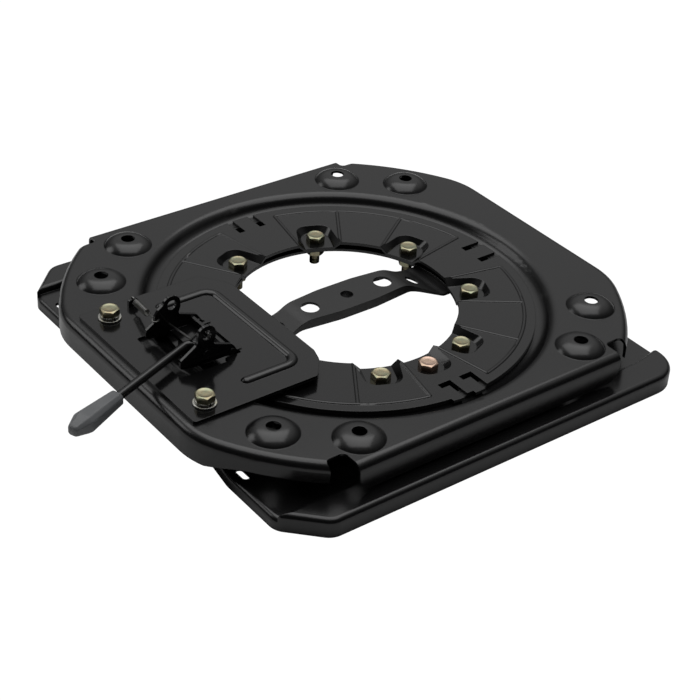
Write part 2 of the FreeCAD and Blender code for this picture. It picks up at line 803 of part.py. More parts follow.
def bead_tube(radius, z):
    # A round bar along the U-shaped bead's centre line, with ball ends.
    y = bead_leg_y
    r = bead_corner_r
    turn = r * (1 - math.sqrt(0.5))
    p1, p2 = V(bead_outer_x, y, z), V(bead_inner_x - r, y, z)
    p3, p4 = V(bead_inner_x, y - r, z), V(bead_inner_x, -y + r, z)
    p5, p6 = V(bead_inner_x - r, -y, z), V(bead_outer_x, -y, z)
    path = Part.Wire([Part.LineSegment(p1, p2).toShape(),
                      Part.Arc(p2, V(bead_inner_x - turn, y - turn, z), p3).toShape(),
                      Part.LineSegment(p3, p4).toShape(),
                      Part.Arc(p4, V(bead_inner_x - turn, -y + turn, z), p5).toShape(),
                      Part.LineSegment(p5, p6).toShape()])
    circle = Part.Wire([Part.Circle(p1, V(1, 0, 0), radius).toShape()])
    tube = path.makePipeShell([circle], True, True)
    balls = [Part.makeSphere(radius, p) for p in (p1, p6)]
    return tube.fuse(balls)


def make_latch_plate():
    low = deck_top
    plate = prism(latch_outline(), low, latch_top)
    bead_r = (bead_width ** 2 / 4 + bead_height ** 2) / (2 * bead_height)
    bead_z = latch_top + bead_height - bead_r
    outer = bead_tube(bead_r, bead_z)
    inner = bead_tube(bead_r - latch_sheet, bead_z)
    above = box(-300, 0, -200, 200, low, latch_top + 20)
    plate = plate.fuse(outer.common(above)).cut(inner)
    plate = plate.cut(prism(window_outline(), low - 5, latch_top + 5))
    plate = plate.fuse(hinge_lugs() + [anchor_tab()])
    tools = [anchor_hole()]
    for s in (-1, 1):
        tools.append(cylinder(bolt_thread_r + hole_clearance, low - 5, latch_top + 5, latch_bolt_x, s * latch_bolt_y))
    tools.append(Part.makeCylinder(hinge_pin_r, 120, V(hinge_x, -60, hinge_z), V(0, 1, 0)))
    return one_solid(plate.cut(tools))


def lug_inner_y():
    return wall_half_y - pawl_sheet / 2 - lug_gap - lug_thickness


def hinge_lugs():
    # Two tabs folded up from the inner edge of the window, inside the pawl's walls.
    y = lug_inner_y()
    lugs = []
    for low in (-y - lug_thickness, y):
        foot = box(hinge_x, lug_root_x, low, low + lug_thickness, deck_top, latch_top + 1)
        cap = Part.makeCylinder(lug_round_r, lug_thickness, V(hinge_x, low, hinge_z), V(0, 1, 0))
        lugs.append(foot.fuse(cap))
    return lugs


def latch_bolt_places():
    return [(latch_bolt_x, s * latch_bolt_y) for s in (-1, 1)]


def make_latch_bolts():
    seat = latch_top + washer_thickness + spring_washer_thickness
    end = deck_top - upper_sheet - nut_height - bolt_tail
    return Part.makeCompound([hex_bolt(seat, end, x, y, 11.0 + 9 * i) for i, (x, y) in enumerate(latch_bolt_places())])


def make_latch_nuts():
    low = deck_top - upper_sheet - nut_height
    return Part.makeCompound([hex_nut(low, x, y, 30.0 * i) for i, (x, y) in enumerate(latch_bolt_places())])


def make_plain_washers():
    washers = []
    for x, y in latch_bolt_places():
        disc = cylinder(washer_outer_r, latch_top, latch_top + washer_thickness, x, y)
        washers.append(disc.cut(cylinder(bolt_thread_r + hole_clearance, latch_top - 1, latch_top + 10, x, y)))
    return Part.makeCompound(washers)


def make_spring_washers():
    low = latch_top + washer_thickness
    washers = []
    for x, y in latch_bolt_places():
        disc = cylinder(spring_washer_outer_r, low, low + spring_washer_thickness, x, y)
        disc = disc.cut(cylinder(bolt_thread_r + hole_clearance, low - 1, low + 10, x, y))
        gap = box(x - spring_washer_gap / 2, x + spring_washer_gap / 2, y - 20, y, low - 1, low + 10)
        washers.append(disc.cut(gap))
    return Part.makeCompound(washers)


# Latch pawl: a folded channel with two side walls, a web and two teeth

def wall_outline():
    # Side view of a wall: from its tip at the hinge up to the ear, and down to the foot on the lever's side.
    low = latch_top + 0.8
    ear_top = ear_z + ear_round_r
    return [(wall_tip_x, low, 1.5), (wall_knee_x, latch_top + wall_knee_rise, 2), (wall_neck_x, latch_top + wall_neck_rise, 3),
            (ear_x + ear_round_r, ear_z - 4, 4), (ear_x + ear_round_r, ear_top, 8.8), (ear_x - ear_round_r, ear_top, 8.8),
            (ear_x - ear_round_r, ear_z - 7, 8), (wall_foot_x, latch_top + wall_foot_rise, 4),
            (wall_foot_x, latch_top + wall_foot_lift, 2), (wall_foot_x + 17, low, 8)]


def make_latch_pawl():
    corners = [(V(x, 0, z), r) for x, z, r in wall_outline()]
    face = Part.Face(rounded_wire(corners))
    walls = []
    for s in (-1, 1):
        wall = face.extrude(V(0, pawl_sheet, 0))
        wall.translate(V(0, s * wall_half_y - pawl_sheet / 2, 0))
        walls.append(wall)
    inside = wall_half_y + pawl_sheet / 2 - 0.2
    web = box(web_outer_x, web_inner_x, -inside, inside, web_top - pawl_sheet, web_top)
    cross_web = box(cross_web_x - pawl_sheet, cross_web_x, -inside, inside, web_top - 1, latch_top + wall_knee_rise)
    teeth = []
    for s in (-1, 1):
        mid = s * tooth_spacing / 2
        tip_z = ring_top + tooth_rest_gap
        side_view = [(tooth_outer_x, tip_z, 1.2), (tooth_nib_x, tip_z, 1.0), (tooth_nib_x, tip_z + tooth_shoulder, 0.5),
                     (tooth_inner_x, tip_z + tooth_shoulder, 1.2), (tooth_inner_x, web_top - 1, 0),
                     (tooth_outer_x, web_top - 1, 0)]
        corners = [(V(x, mid - tooth_width / 2, z), r) for x, z, r in side_view]
        teeth.append(extruded(rounded_wire(corners), V(0, tooth_width, 0)))
    pawl = walls[0].fuse([walls[1], web, cross_web, hook_arm()] + teeth)
    tools = [hook_hole(),
             Part.makeCylinder(hinge_pin_r + pin_clearance, 120, V(hinge_x, -60, hinge_z), V(0, 1, 0)),
             Part.makeCylinder(ear_hole_r, 120, V(ear_x, -60, ear_z), V(0, 1, 0)),
             Part.makeCylinder(rod_r, 2 * rod_wall_y, V(rod_x, -2 * rod_wall_y, rod_z), V(0, 1, 0)),
             Part.makeCylinder(ear_wire_r, 20, V(ear_wire_back_x, wall_half_y - 10, ear_wire_back_z), V(0, 1, 0))]
    return one_solid(pawl.cut(tools))


def make_hinge_pin():
    outer = wall_half_y + pawl_sheet / 2 + pin_gap
    pin = Part.makeCylinder(hinge_pin_r, 2 * outer + pin_tail + 1, V(hinge_x, -outer - 1, hinge_z), V(0, 1, 0))
    head = Part.makeCylinder(pin_head_r, pin_head_height, V(hinge_x, -outer - pin_head_height, hinge_z), V(0, 1, 0))
    return one_solid(pin.fuse(head))


def make_pin_clip():
    outer = wall_half_y + pawl_sheet / 2 + pin_gap
    disc = Part.makeCylinder(clip_outer_r, clip_thickness, V(hinge_x, outer, hinge_z), V(0, 1, 0))
    return one_solid(disc.cut(Part.makeCylinder(hinge_pin_r, 5, V(hinge_x, outer - 1, hinge_z), V(0, 1, 0))))


# Lever rod and grip

def rod_end_direction():
    splay = math.radians(rod_splay)
    return V(-math.cos(splay), -math.sin(splay), 0)


def rod_corner():
    return V(rod_x, rod_bend_y, rod_z)


def make_lever_rod():
    start = V(rod_x, -rod_wall_y, rod_z)
    end = rod_corner() + rod_end_direction() * rod_straight
    return one_solid(bent_bar([start, rod_corner(), end], rod_bend_r, rod_r))


def make_ear_wire():
    # A wire from the back wall, over the rod's bend, and through the hole of the front ear.
    start, middle, end = corner_arc(V(rod_x, -rod_wall_y, rod_z), rod_corner(),
                                    rod_corner() + rod_end_direction(), rod_bend_r)
    over = middle + V(0, 0, rod_r + ear_wire_r + 0.2)
    inside = pawl_sheet / 2 + 4.5 - wall_half_y
    outside = -pawl_sheet / 2 - 2.5 - wall_half_y
    points = [V(ear_wire_back_x, wall_half_y + 4, ear_wire_back_z), V(ear_wire_back_x, wall_half_y - 6, ear_wire_back_z),
              over, V(ear_x + 0.5, inside, ear_z + ear_wire_lift), V(ear_x, outside, ear_z + ear_wire_lift),
              V(ear_x, outside, ear_z - ear_wire_lift)]
    return one_solid(bent_bar(points, ear_wire_bend, ear_wire_r))


def grip_section(distance, half_width, half_height, bevel):
    away = rod_end_direction()
    side = away.cross(V(0, 0, 1)).normalize()
    up = side.cross(away).normalize()
    centre = rod_corner() + away * (rod_straight - grip_socket + distance)
    w, h, b = half_width, half_height, bevel
    shape = [(w, -h + b), (w, h - b), (w - b, h), (-w + b, h), (-w, h - b), (-w, -h + b), (-w + b, -h), (w - b, -h)]
    points = [centre + side * x + up * y for x, y in shape]
    return Part.makePolygon(points + [points[0]])


def make_lever_grip():
    sections = [grip_section(0, 6.6, 6.0, 2.4), grip_section(grip_length * 0.745, 9.8, 8.0, 3.2),
                grip_section(grip_length, 4.8, 4.4, 1.9)]
    grip = Part.makeLoft(sections, True, True)
    away = rod_end_direction()
    start = rod_corner() + away * (rod_straight - grip_socket - 5)
    socket = Part.makeCylinder(rod_r, grip_socket + 5, start, away)
    return one_solid(grip.cut(socket))


# Springs

def anchor_eye():
    # Centre of the spring's eye at the anchor tab. The eye's lowest point lies in the tab's hole.
    return V(anchor_x, anchor_y, anchor_hole_z + coil_r)


def pawl_eye():
    # Its ring lies level and passes round the outer edge of the arm.
    return V(hook_x - coil_r, wall_half_y, hook_z)


def wire_ring(centre, axis):
    return Part.makeTorus(coil_r, coil_wire_r, centre, axis)


def straight_wire(start, end, wire_r):
    along = end - start
    return Part.makeCylinder(wire_r, along.Length, start, along)


def make_return_spring():
    start = anchor_eye()
    end = pawl_eye()
    along = (end - start).normalize()
    helix = Part.makeHelix(coil_length / coil_turns, coil_length, coil_r)
    circle = Part.Wire([Part.Circle(V(coil_r, 0, 0), V(0, 1, 0), coil_wire_r).toShape()])
    coil = Part.Wire(helix.Edges).makePipeShell([circle], True, True)
    bars = [straight_wire(V(-0.3, 0, z), V(coil_r + 0.3, 0, z), 0.94 * coil_wire_r) for z in (0.0, coil_length)]
    spring = coil.fuse(bars)
    spring.Placement = FreeCAD.Placement(start + along * (coil_r + coil_lead), FreeCAD.Rotation(V(0, 0, 1), along))
    leaders = [straight_wire(start + along * coil_r, start + along * (coil_r + coil_lead), 0.97 * coil_wire_r),
               straight_wire(start + along * (coil_r + coil_lead + coil_length), end - along * coil_r, 0.97 * coil_wire_r)]
    eyes = [wire_ring(start, V(1, 0, 0)), wire_ring(end, V(0, 0, 1))]
    return one_solid(spring.fuse(leaders + eyes))


def anchor_tab():
    block = box(anchor_x - anchor_half_width, anchor_x + anchor_half_width, anchor_y - latch_sheet / 2,
                anchor_y + latch_sheet / 2, latch_top - 1, anchor_hole_z + spring_bridge)
    top_edges = [e for e in block.Edges if abs(e.BoundBox.ZMin - (anchor_hole_z + spring_bridge)) < 1e-6
                 and e.BoundBox.YLength > 1]
    return block.makeFillet(3.0, top_edges)


def anchor_hole():
    return Part.makeCylinder(spring_hole_r, 20, V(anchor_x, anchor_y - 10, anchor_hole_z), V(0, 1, 0))


def hook_arm():
    # The arm of the back wall that the return spring pulls on.
    y_low = wall_half_y - pawl_sheet / 2
    corners = [(ear_x, ear_z + ear_round_r - 1, 0), (hook_arm_x + 4, latch_top + hook_arm_rise, 4),
               (hook_arm_x, latch_top + hook_arm_rise - 6, 3), (hook_arm_x, latch_top + hook_arm_low, 0),
               (ear_x, latch_top + hook_arm_low, 0)]
    return extruded(rounded_wire([(V(x, y_low, z), r) for x, z, r in corners]), V(0, pawl_sheet, 0))


def hook_hole():
    return Part.makeCylinder(spring_hole_r, 20, V(hook_x, wall_half_y - 10, hook_z), V(0, 1, 0))


def main():
    nodes = {
        "lower_plate": make_lower_plate(),
        "retaining_ring": make_retaining_ring(),
        "lower_glide_ring": make_lower_glide(),
        "upper_glide_ring": make_upper_glide(),
        "cross_strap": make_cross_strap(),
        "ring_bolts": make_ring_bolts(),
        "stop_bolt": make_stop_bolt(),
        "ring_nuts": make_ring_nuts(),
        "stop_nut": make_stop_nut(),
        "upper_plate": make_upper_plate(),
        "latch_plate": make_latch_plate(),
        "latch_bolts": make_latch_bolts(),
        "latch_nuts": make_latch_nuts(),
        "plain_washers": make_plain_washers(),
        "spring_washers": make_spring_washers(),
        "latch_pawl": make_latch_pawl(),
        "hinge_pin": make_hinge_pin(),
        "pin_clip": make_pin_clip(),
        "lever_rod": make_lever_rod(),
        "lever_grip": make_lever_grip(),
        "return_spring": make_return_spring(),
        "ear_wire": make_ear_wire(),
    }
    os.makedirs("parts", exist_ok=True)
    for name, shape in nodes.items():
        shape.exportStep("parts/" + name + ".step")
        print(name, "solids", len(shape.Solids), "valid", shape.isValid(), "volume", round(shape.Volume))


main()
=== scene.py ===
"""Swivel seat base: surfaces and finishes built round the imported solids.

Lengths are in metres, in the solids' own frame.
"""
import math

import bpy
import numpy as np
from mathutils import Matrix, Vector


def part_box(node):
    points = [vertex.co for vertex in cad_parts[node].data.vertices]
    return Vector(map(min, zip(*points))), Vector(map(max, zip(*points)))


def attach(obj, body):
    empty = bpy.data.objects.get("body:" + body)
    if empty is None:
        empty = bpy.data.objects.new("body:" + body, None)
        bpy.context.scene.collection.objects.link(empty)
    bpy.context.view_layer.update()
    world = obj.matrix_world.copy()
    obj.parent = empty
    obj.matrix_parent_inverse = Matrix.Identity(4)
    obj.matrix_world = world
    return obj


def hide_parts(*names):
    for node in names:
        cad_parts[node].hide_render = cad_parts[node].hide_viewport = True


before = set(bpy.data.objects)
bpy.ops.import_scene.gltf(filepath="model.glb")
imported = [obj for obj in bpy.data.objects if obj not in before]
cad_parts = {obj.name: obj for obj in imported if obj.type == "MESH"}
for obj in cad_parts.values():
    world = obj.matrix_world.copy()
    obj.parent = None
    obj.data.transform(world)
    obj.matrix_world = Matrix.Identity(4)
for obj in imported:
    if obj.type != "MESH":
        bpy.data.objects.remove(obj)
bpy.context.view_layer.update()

bl_info = {
    "name": "Swivel Seat Base",
    "version": (1, 0, 0),
    "blender": (4, 5, 0),
    "location": "View3D > Sidebar > Seat Base",
    "description": "Builds the fasteners, spring, grip and finishes of a swivel seat base",
    "category": "Object",
}

MM = 0.001
TURN = 2 * math.pi

# Bolts, nuts and washers
SHANK_RADIUS = 5.0 * MM
THREAD_PITCH = 1.5 * MM
THREAD_DEPTH = 0.75 * MM
THREAD_LENGTH = 7 * MM
TIP_CHAMFER = 1.0 * MM
HEAD_DISH = 0.35 * MM
BORE_CHAMFER = 0.6 * MM
CHAMFER_SLOPE = math.tan(math.radians(30))
LATCH_BOLT_PLACES = ((-0.207, -0.077), (-0.207, 0.077))
WASHER_BORE = 5.5 * MM
WASHER_OUTER = 10.5 * MM
WASHER_SOFT_EDGE = 0.35 * MM
SPLIT_WASHER_OUTER = 8.8 * MM
SPLIT_WASHER_THICKNESS = 2.3 * MM
SPLIT_WASHER_GAP = 0.2
SPLIT_WASHER_RISE = 0.3 * MM

# Return spring, from the latch plate's tab to the pawl's arm
TAB_EYE = (-0.1794, 0.083, 0.056)
ARM_EYE = (-0.1900, 0.028, 0.068)
SPRING_LEAD = 0.0085
COIL_LENGTH = 0.029
EYE_SHARE = 0.86

# Grip: share of its length, half width and half height in millimetres
ROD_SPLAY = math.radians(21.3)
ROD_BEND = (-0.1744, -0.0065, 0.0606)
GRIP_FROM_BEND = 0.1036
GRIP_PROFILE = ((0.0, 5.9, 5.3), (0.012, 6.5, 5.9), (0.03, 6.8, 6.1), (0.25, 7.8, 6.7),
                (0.50, 8.9, 7.4), (0.70, 9.75, 8.0), (0.735, 9.85, 8.1), (0.75, 9.8, 8.05),
                (0.775, 9.45, 7.8), (0.85, 7.9, 6.6), (0.95, 5.8, 5.1), (0.98, 5.0, 4.5),
                (1.0, 4.0, 3.5))

# Stage
GROUND_REACH = 6.0
FLOOR_LEVEL = -0.0002
BACKDROP_LEVEL = -0.0006
SKY_BRIGHT_SIDE = (0.298, 0.363, 0.883)
SKY_STOPS = ((0.0, 0.02), (0.45, 0.04), (0.66, 0.20), (0.80, 0.50), (0.90, 0.58), (1.0, 0.80))
CAMERA_AZIMUTH, CAMERA_ELEVATION, CAMERA_ROLL = (math.radians(a) for a in (-39.39, 33.94, 3.91))
CAMERA_DISTANCE = 1.5861
CAMERA_RIGHT = 0.0033
CAMERA_DOWN = 0.0474
CAMERA_AIM = (0, 0, 0.041)


# Shader maths

class Wire:
    """An output socket. Arithmetic on it adds Math nodes to the same material."""

    def __init__(self, net, socket):
        self.net, self.socket = net, socket

    def _math(self, operation, *values):
        return self.net.node("ShaderNodeMath", {"operation": operation},
                             **{str(i): v for i, v in enumerate(values)})

    def __add__(self, other):
        return self._math("ADD", self, other)

    __radd__ = __add__

    def __sub__(self, other):
        return self._math("SUBTRACT", self, other)

    def __rsub__(self, other):
        return self._math("SUBTRACT", other, self)

    def __mul__(self, other):
        return self._math("MULTIPLY", self, other)

    __rmul__ = __mul__

    def over(self, low, high):
        """0 where the value is under low, 1 where it is over high, and smooth between."""
        return self.net.node("ShaderNodeMapRange", {"interpolation_type": "SMOOTHSTEP"},
                             Value=self, **{"From Min": low, "From Max": high})


class Net:
    """The nodes of one material or world."""

    def __init__(self, tree):
        self.tree = tree
        tree.nodes.clear()

    def node(self, kind, settings=None, output=0, **inputs):
        """Adds a node of that kind: its settings first, then its sockets by name or number."""
        made = self.tree.nodes.new(kind)
        for key, value in (settings or {}).items():
            if key == "stops":
                self._stops(made.color_ramp, value)
            else:
                setattr(made, key, value)
        for key, value in inputs.items():
            socket = made.inputs[int(key)] if key.isdigit() else made.inputs[key]
            if isinstance(value, Wire):
                self.tree.links.new(value.socket, socket)
            else:
                socket.default_value = value
        return Wire(self, made.outputs[output]) if made.outputs else None

    def _stops(self, ramp, stops):
        while len(ramp.elements) < len(stops):
            ramp.elements.new(1.0)
        for element, (place, colour) in zip(ramp.elements, stops):
            element.position, element.color = place, rgba(colour)

    def place(self):
        """Object coordinates, in metres from the swivel axis."""
        return self.node("ShaderNodeTexCoord", output=3)

    def noise(self, vector, scale, detail=2.0, roughness=0.5):
        return self.node("ShaderNodeTexNoise", Vector=vector, Scale=scale, Detail=detail,
                         Roughness=roughness)

    def blend(self, share, first, second):
        """Mixes two colours by a share from 0 to 1."""
        return self.node("ShaderNodeMix", {"data_type": "RGBA"}, output=2,
                         **{"0": share, "6": first, "7": second})

    def bump(self, height, depth, edge):
        """A normal with bumps of that depth, and with the solid's edges rounded by edge."""
        rounded = self.node("ShaderNodeBevel", {"samples": 6}, Radius=edge)
        return self.node("ShaderNodeBump", Height=height, Distance=depth, Strength=1.0,
                         Normal=rounded)

    def surface(self, **inputs):
        shader = self.node("ShaderNodeBsdfPrincipled", **inputs)
        self.node("ShaderNodeOutputMaterial", Surface=shader)


def rgba(colour):
    return (*colour, 1.0)


def grey(level):
    return (level, level, level)


def material(name):
    made = bpy.data.materials.new(name)
    made.use_nodes = True
    return made, Net(made.node_tree)


def coated_steel(name, colour, roughness, peel, edge):
    """Black coat on pressed steel: orange peel, slow waves in its gloss and a little dust."""
    made, net = material(name)
    place = net.place()
    cloud = net.noise(place, scale=9.0, detail=3.0)
    grain = net.noise(place, scale=620.0, detail=3.0, roughness=0.6)
    specks = net.noise(place, scale=2400.0, roughness=0.7).over(0.66, 0.8)
    dust = specks * cloud.over(0.45, 0.75)
    gloss = roughness + (cloud - 0.5) * 0.08 + (grain - 0.5) * 0.06 + dust * 0.2
    tint = net.blend(dust * 0.18, rgba(colour), rgba((0.20, 0.20, 0.195)))
    net.surface(**{"Base Color": tint, "Roughness": gloss, "Normal": net.bump(grain, peel, edge)})
    return made


def plated_steel(name, colour, film_a, film_b, roughness, edge):
    """Zinc plate under a film that drifts between two tints, with stains and forging marks."""
    made, net = material(name)
    place = net.place()
    drift = net.noise(place, scale=140.0).over(0.35, 0.65)
    streak = net.noise(place, scale=420.0, detail=3.0, roughness=0.65)
    stain = net.noise(place, scale=900.0).over(0.62, 0.75)
    film = net.blend(drift, rgba(film_a), rgba(film_b))
    clean = net.blend(streak.over(0.38, 0.62), rgba(colour), film)
    tint = net.blend(stain * 0.35, clean, rgba((0.10, 0.085, 0.05)))
    net.surface(**{"Base Color": tint, "Metallic": 1.0 - stain * 0.3,
                   "Roughness": roughness + streak * 0.16,
                   "Normal": net.bump(streak, 0.06 * MM, edge)})
    return made


def moulded_plastic(name, colour, other, roughness, grain_scale, edge):
    """Moulded plastic with a fine spark-eroded grain and slow shade changes."""
    made, net = material(name)
    place = net.place()
    shade = net.noise(place, scale=60.0).over(0.35, 0.7)
    grain = net.noise(place, scale=grain_scale, roughness=0.6)
    net.surface(**{"Base Color": net.blend(shade, rgba(colour), rgba(other)),
                   "Roughness": roughness + (grain - 0.5) * 0.15,
                   "Normal": net.bump(grain, 0.05 * MM, edge)})
    return made


# Surfaces worked out with numpy

def around(steps):
    """Evenly spaced angles round one turn, starting at 0."""
    return np.linspace(0, TURN, steps, endpoint=False)


def skin(rows, closed_along=False):
    """Vertices and faces of a surface given as rows of rings, each ring closed on itself.

    Row i joins row i + 1 by quads. The first and last rings are closed by a fan to their mean,
    or with closed_along the last ring joins the first.
    """
    rows = np.asarray(rows, float)
    count, per_ring = rows.shape[:2]
    verts = rows.reshape(-1, 3)
    i = np.arange(count if closed_along else count - 1)[:, None]
    ring = np.arange(per_ring)
    after = (ring + 1) % per_ring
    a, b = i * per_ring, (i + 1) % count * per_ring
    faces = np.stack([a + ring, a + after, b + after, b + ring], -1).reshape(-1, 4).tolist()
    if not closed_along:
        first, last = len(verts), len(verts) + 1
        verts = np.vstack([verts, rows[0].mean(0), rows[-1].mean(0)])
        tail = (count - 1) * per_ring
        faces += np.stack([np.full(per_ring, first), after, ring], -1).tolist()
        faces += np.stack([np.full(per_ring, last), tail + ring, tail + after], -1).tolist()
    return outward(verts, faces)


def outward(verts, faces):
    """Turns the faces over if the signed volume of the closed surface is below zero."""
    fans = np.array([(f[0], f[k], f[k + 1]) for f in faces for k in range(1, len(f) - 1)])
    corner = verts[fans]
    volume = np.einsum("ij,ij->i", corner[:, 0], np.cross(corner[:, 1], corner[:, 2])).sum()
    return verts, [f[::-1] for f in faces] if volume < 0 else faces


def soft_polygon(theta, apothems, first, power):
    """Distance to a polygon with softened corners, at the angles theta.

    It is the power mean over the face normals, the first of which stands at the angle first. A
    higher power gives sharper corners.
    """
    normals = first + np.arange(len(apothems)) * TURN / len(apothems)
    reach = np.clip(np.cos(theta[:, None] - normals) / apothems, 0, None) ** power
    return 1 / reach.sum(-1) ** (1 / power)


def hexagon(theta, apothem):
    return apothem * soft_polygon(theta, np.ones(6), TURN / 12, 60)


def ring_rows(profile, theta):
    """Rings about the Z axis. Each row of the profile is a radius and a height.

    Either is one number, or an array with a value for each angle.
    """
    radii, heights = (np.array([np.broadcast_to(row[k], theta.shape) for row in profile])
                      for k in (0, 1))
    return np.stack([radii * np.cos(theta), radii * np.sin(theta), heights], -1)


def head_rows(apothem, height, turn):
    """Hexagon head from its washer face to its slightly dished top.

    The side runs up to where a 30 degree cone cuts it, so the chamfer's edge rises and falls
    round the head.
    """
    theta = around(96)
    side = hexagon(theta, apothem)
    face = 0.90 * apothem
    cut = height - (side - face) * CHAMFER_SLOPE
    profile = [
        (apothem * 0.5, 0),
        (apothem * 0.93, 0),
        (side * 0.985, 0.10 * MM),
        (side, 0.45 * MM),
        (side, cut - 0.25 * MM),
        (side * 0.997, cut),
        (face * 1.01 + (side - face) * 0.04, height - 0.10 * MM),
        (face * 0.985, height),
        (face * 0.93, height - 0.02 * MM),
        (face * 0.80, height - HEAD_DISH),
        (face * 0.4, height - HEAD_DISH),
    ]
    return ring_rows(profile, theta + math.radians(turn))


def shank_rows(length):
    """Bolt shank below its seat. The last stretch is threaded.

    The thread's depth follows a triangle wave of angle and height together, so its crests climb
    one pitch a turn.
    """
    start = length - THREAD_LENGTH
    theta = around(48)
    drop = np.concatenate([[0.0, start], np.linspace(start + 0.1 * MM, length - 0.3 * MM, 60),
                           [length]])
    phase = (drop[:, None] / THREAD_PITCH + theta / TURN) % 1
    fade_in = np.clip((drop[:, None] - start) / MM, 0, 1)
    radii = SHANK_RADIUS - THREAD_DEPTH * (1 - np.abs(2 * phase - 1)) * fade_in
    radii[-1] = SHANK_RADIUS - TIP_CHAMFER
    return ring_rows(list(zip(radii, -drop)), theta)


def nut_rows(apothem, height, turn):
    """Hexagon nut as a closed loop of rings: bore, lower chamfer, side, upper chamfer, bore."""
    theta = around(96)
    side = hexagon(theta, apothem)
    face = 0.93 * apothem
    mouth = SHANK_RADIUS + BORE_CHAMFER
    rise = (side - face) * CHAMFER_SLOPE
    profile = [(SHANK_RADIUS, BORE_CHAMFER), (mouth, 0), (face, 0), (side, rise),
               (side, height - rise), (face, height), (mouth, height),
               (SHANK_RADIUS, height - BORE_CHAMFER)]
    return ring_rows(profile, theta + math.radians(turn))


def washer_rows(inner, outer, thickness, soft):
    """Flat ring whose section is a rectangle with corners rounded by soft."""
    centres = [(outer - soft, thickness - soft), (inner + soft, thickness - soft),
               (inner + soft, soft), (outer - soft, soft)]
    section = []
    for quarter, (r, z) in enumerate(centres):
        angle = np.linspace(0, TURN / 4, 4) + quarter * TURN / 4
        section += zip(r + soft * np.cos(angle), z + soft * np.sin(angle))
    return ring_rows(section, around(72))


def split_washer_rows(inner, outer, thickness, gap, rise):
    """Spring washer: a squared bar carried round an almost full turn while it climbs by rise.

    The bar's section is a superellipse. The gap is an angle in radians.
    """
    share = np.linspace(0, 1, 60)[:, None]
    theta = gap / 2 - TURN / 4 + share * (TURN - gap)
    angle, squareness = around(16), 0.45
    across, up = (np.sign(wave) * np.abs(wave) ** squareness
                  for wave in (np.cos(angle), np.sin(angle)))
    radii = (inner + outer) / 2 + (outer - inner) / 2 * across
    heights = thickness / 2 * (1 + up) + (share - 0.5) * rise
    return np.stack([radii * np.cos(theta), radii * np.sin(theta), heights], -1)


def tube_rows(path, radius):
    """A round bar along a path, its rings square to the path and carried along without twist."""
    along = np.gradient(path, axis=0)
    along /= np.linalg.norm(along, axis=1)[:, None]
    angle = around(12)[:, None]
    side = np.cross(along[0], [0.31, 0.2, 0.93])
    rows = []
    for point, forward in zip(path, along):
        side = side - forward * side.dot(forward)
        side /= np.linalg.norm(side)
        other = np.cross(forward, side)
        rows.append(point + radius * (np.cos(angle) * side + np.sin(angle) * other))
    return np.array(rows)


def smooth_path(points, count):
    """A Catmull-Rom curve through the points, sampled evenly by parameter."""
    p = np.asarray(points, float)
    p = np.vstack([2 * p[0] - p[1], p, 2 * p[-1] - p[-2]])
    t = np.linspace(0, len(p) - 3 - 1e-9, count)
    k = t.astype(int)
    f = (t - k)[:, None]
    a, b, c, d = p[k], p[k + 1], p[k + 2], p[k + 3]
    return 0.5 * (2 * b + (c - a) * f + (2 * a - 5 * b + 4 * c - d) * f ** 2
                  + (3 * b - a - 3 * c + d) * f ** 3)


def unit(vector):
    return vector / np.linalg.norm(vector)


def piece(name, parts, finish, body, replaced, crease=32.0):
    """Makes one object from (vertices, faces) parts, with edges over crease degrees sharp."""
    verts, faces, offset = [], [], 0
    for part_verts, part_faces in parts:
        verts.append(part_verts)
        faces += [[i + offset for i in face] for face in part_faces]
        offset += len(part_verts)
    mesh = bpy.data.meshes.new(name)
    mesh.from_pydata(np.vstack(verts).tolist(), [], faces)
    mesh.shade_smooth()
    mesh.set_sharp_from_angle(angle=math.radians(crease))
    mesh.materials.append(finish)
    made = bpy.data.objects.new(name, mesh)
    bpy.context.scene.collection.objects.link(made)
    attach(made, body)
    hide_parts(replaced)


def dress(names, finish):
    """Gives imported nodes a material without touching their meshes."""
    for name in names:
        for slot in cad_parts[name].material_slots:
            slot.material = finish


# Sizes and finishes that a user would change

class SeatBaseSizes(bpy.types.PropertyGroup):
    bolt_circle: bpy.props.FloatProperty(
        name="Bolt circle radius", description="Radius of the circle of the ring bolts",
        default=0.1203, unit="LENGTH")
    bolt_flats: bpy.props.FloatProperty(
        name="Bolt head flats", description="Width across the flats of the bolt heads and nuts",
        default=0.016, unit="LENGTH")
    head_height: bpy.props.FloatProperty(
        name="Bolt head height", description="Height of a bolt head over its washer face",
        default=0.0064, unit="LENGTH")
    coil_radius: bpy.props.FloatProperty(
        name="Spring coil radius", description="Mean radius of the return spring's coil",
        default=0.0026, unit="LENGTH")
    wire_radius: bpy.props.FloatProperty(
        name="Spring wire radius", description="Radius of the return spring's wire",
        default=0.00065, unit="LENGTH")
    coil_turns: bpy.props.IntProperty(
        name="Spring turns", description="Number of turns in the return spring",
        default=11, min=3)
    grip_length: bpy.props.FloatProperty(
        name="Grip length", description="Length of the lever's grip",
        default=0.0585, unit="LENGTH")


